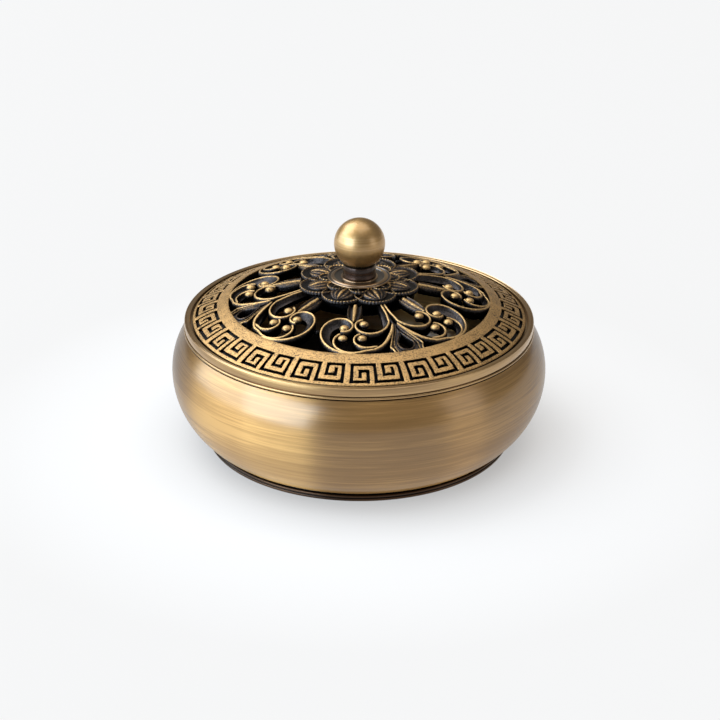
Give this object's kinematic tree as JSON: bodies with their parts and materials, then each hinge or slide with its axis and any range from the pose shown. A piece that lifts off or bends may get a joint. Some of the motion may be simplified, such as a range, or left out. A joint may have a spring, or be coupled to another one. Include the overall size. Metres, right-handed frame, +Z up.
{
  "type": "incense burner",
  "caption": "Round table-top incense burner: a belly bowl on a foot ring, with a pierced domed lid that lifts off by its ball knob.",
  "frame": {"origin": "centre of the foot ring's resting face, on the axis of the bowl", "axes": "+Z up along the axis of the bowl and the knob; -Y is the side seen from the front"},
  "size_m": [0.1193, 0.1192, 0.0726],
  "materials": {
    "belly_brass": "antique brass, brushed round and lacquered, with brown streaks",
    "foot_brass": "turned brass, dark brown patina",
    "seam_brass": "turned brass wire, dark in the grooves",
    "collar_brass": "turned brass, fine brushed rings",
    "mat_fibre": "mineral-fibre felt, greyed by smoke",
    "holder_brass": "turned brass, satin",
    "border_brass": "cast brass, black in the recesses and rubbed bright on the raised faces",
    "skirt_brass": "turned brass, dark patina",
    "lattice_brass": "cast brass, blue-black patina with rubbed ridges",
    "lotus_brass": "cast brass, blue-black patina with rubbed ridges",
    "flange_brass": "turned brass, dark with a bright edge",
    "neck_bronze": "turned brass, dark brown patina",
    "ball_brass": "turned brass, satin",
    "zinc_steel": "zinc-plated steel"
  },
  "bodies": {
    "bowl": {"bowl_shell": "belly_brass", "foot_ring": "foot_brass", "mouth_bead": "seam_brass", "mouth_collar": "collar_brass", "fire_mat": "mat_fibre"},
    "lid": {"lid_border": "border_brass", "lid_skirt": "skirt_brass", "scroll_panel_1": "lattice_brass", "scroll_panel_2": "lattice_brass", "scroll_panel_3": "lattice_brass", "scroll_panel_4": "lattice_brass", "lotus_calyx": "lotus_brass", "lotus_lower": "lotus_brass", "lotus_upper": "lotus_brass", "knob_flange": "flange_brass", "knob_neck": "neck_bronze", "knob_ball": "ball_brass", "knob_stud": "zinc_steel", "stud_washer": "zinc_steel", "stud_nut": "zinc_steel"},
    "holder": {"stick_holder": "holder_brass"}
  },
  "joints": [
    {"name": "lid_lift", "type": "slide", "parent": "bowl", "child": "lid", "axis": [0, 0, 1], "range_m": [0, 0.08]},
    {"name": "holder_lift", "type": "slide", "parent": "bowl", "child": "holder", "axis": [0, 0, 1], "range_m": [0, 0.015]}
  ]
}
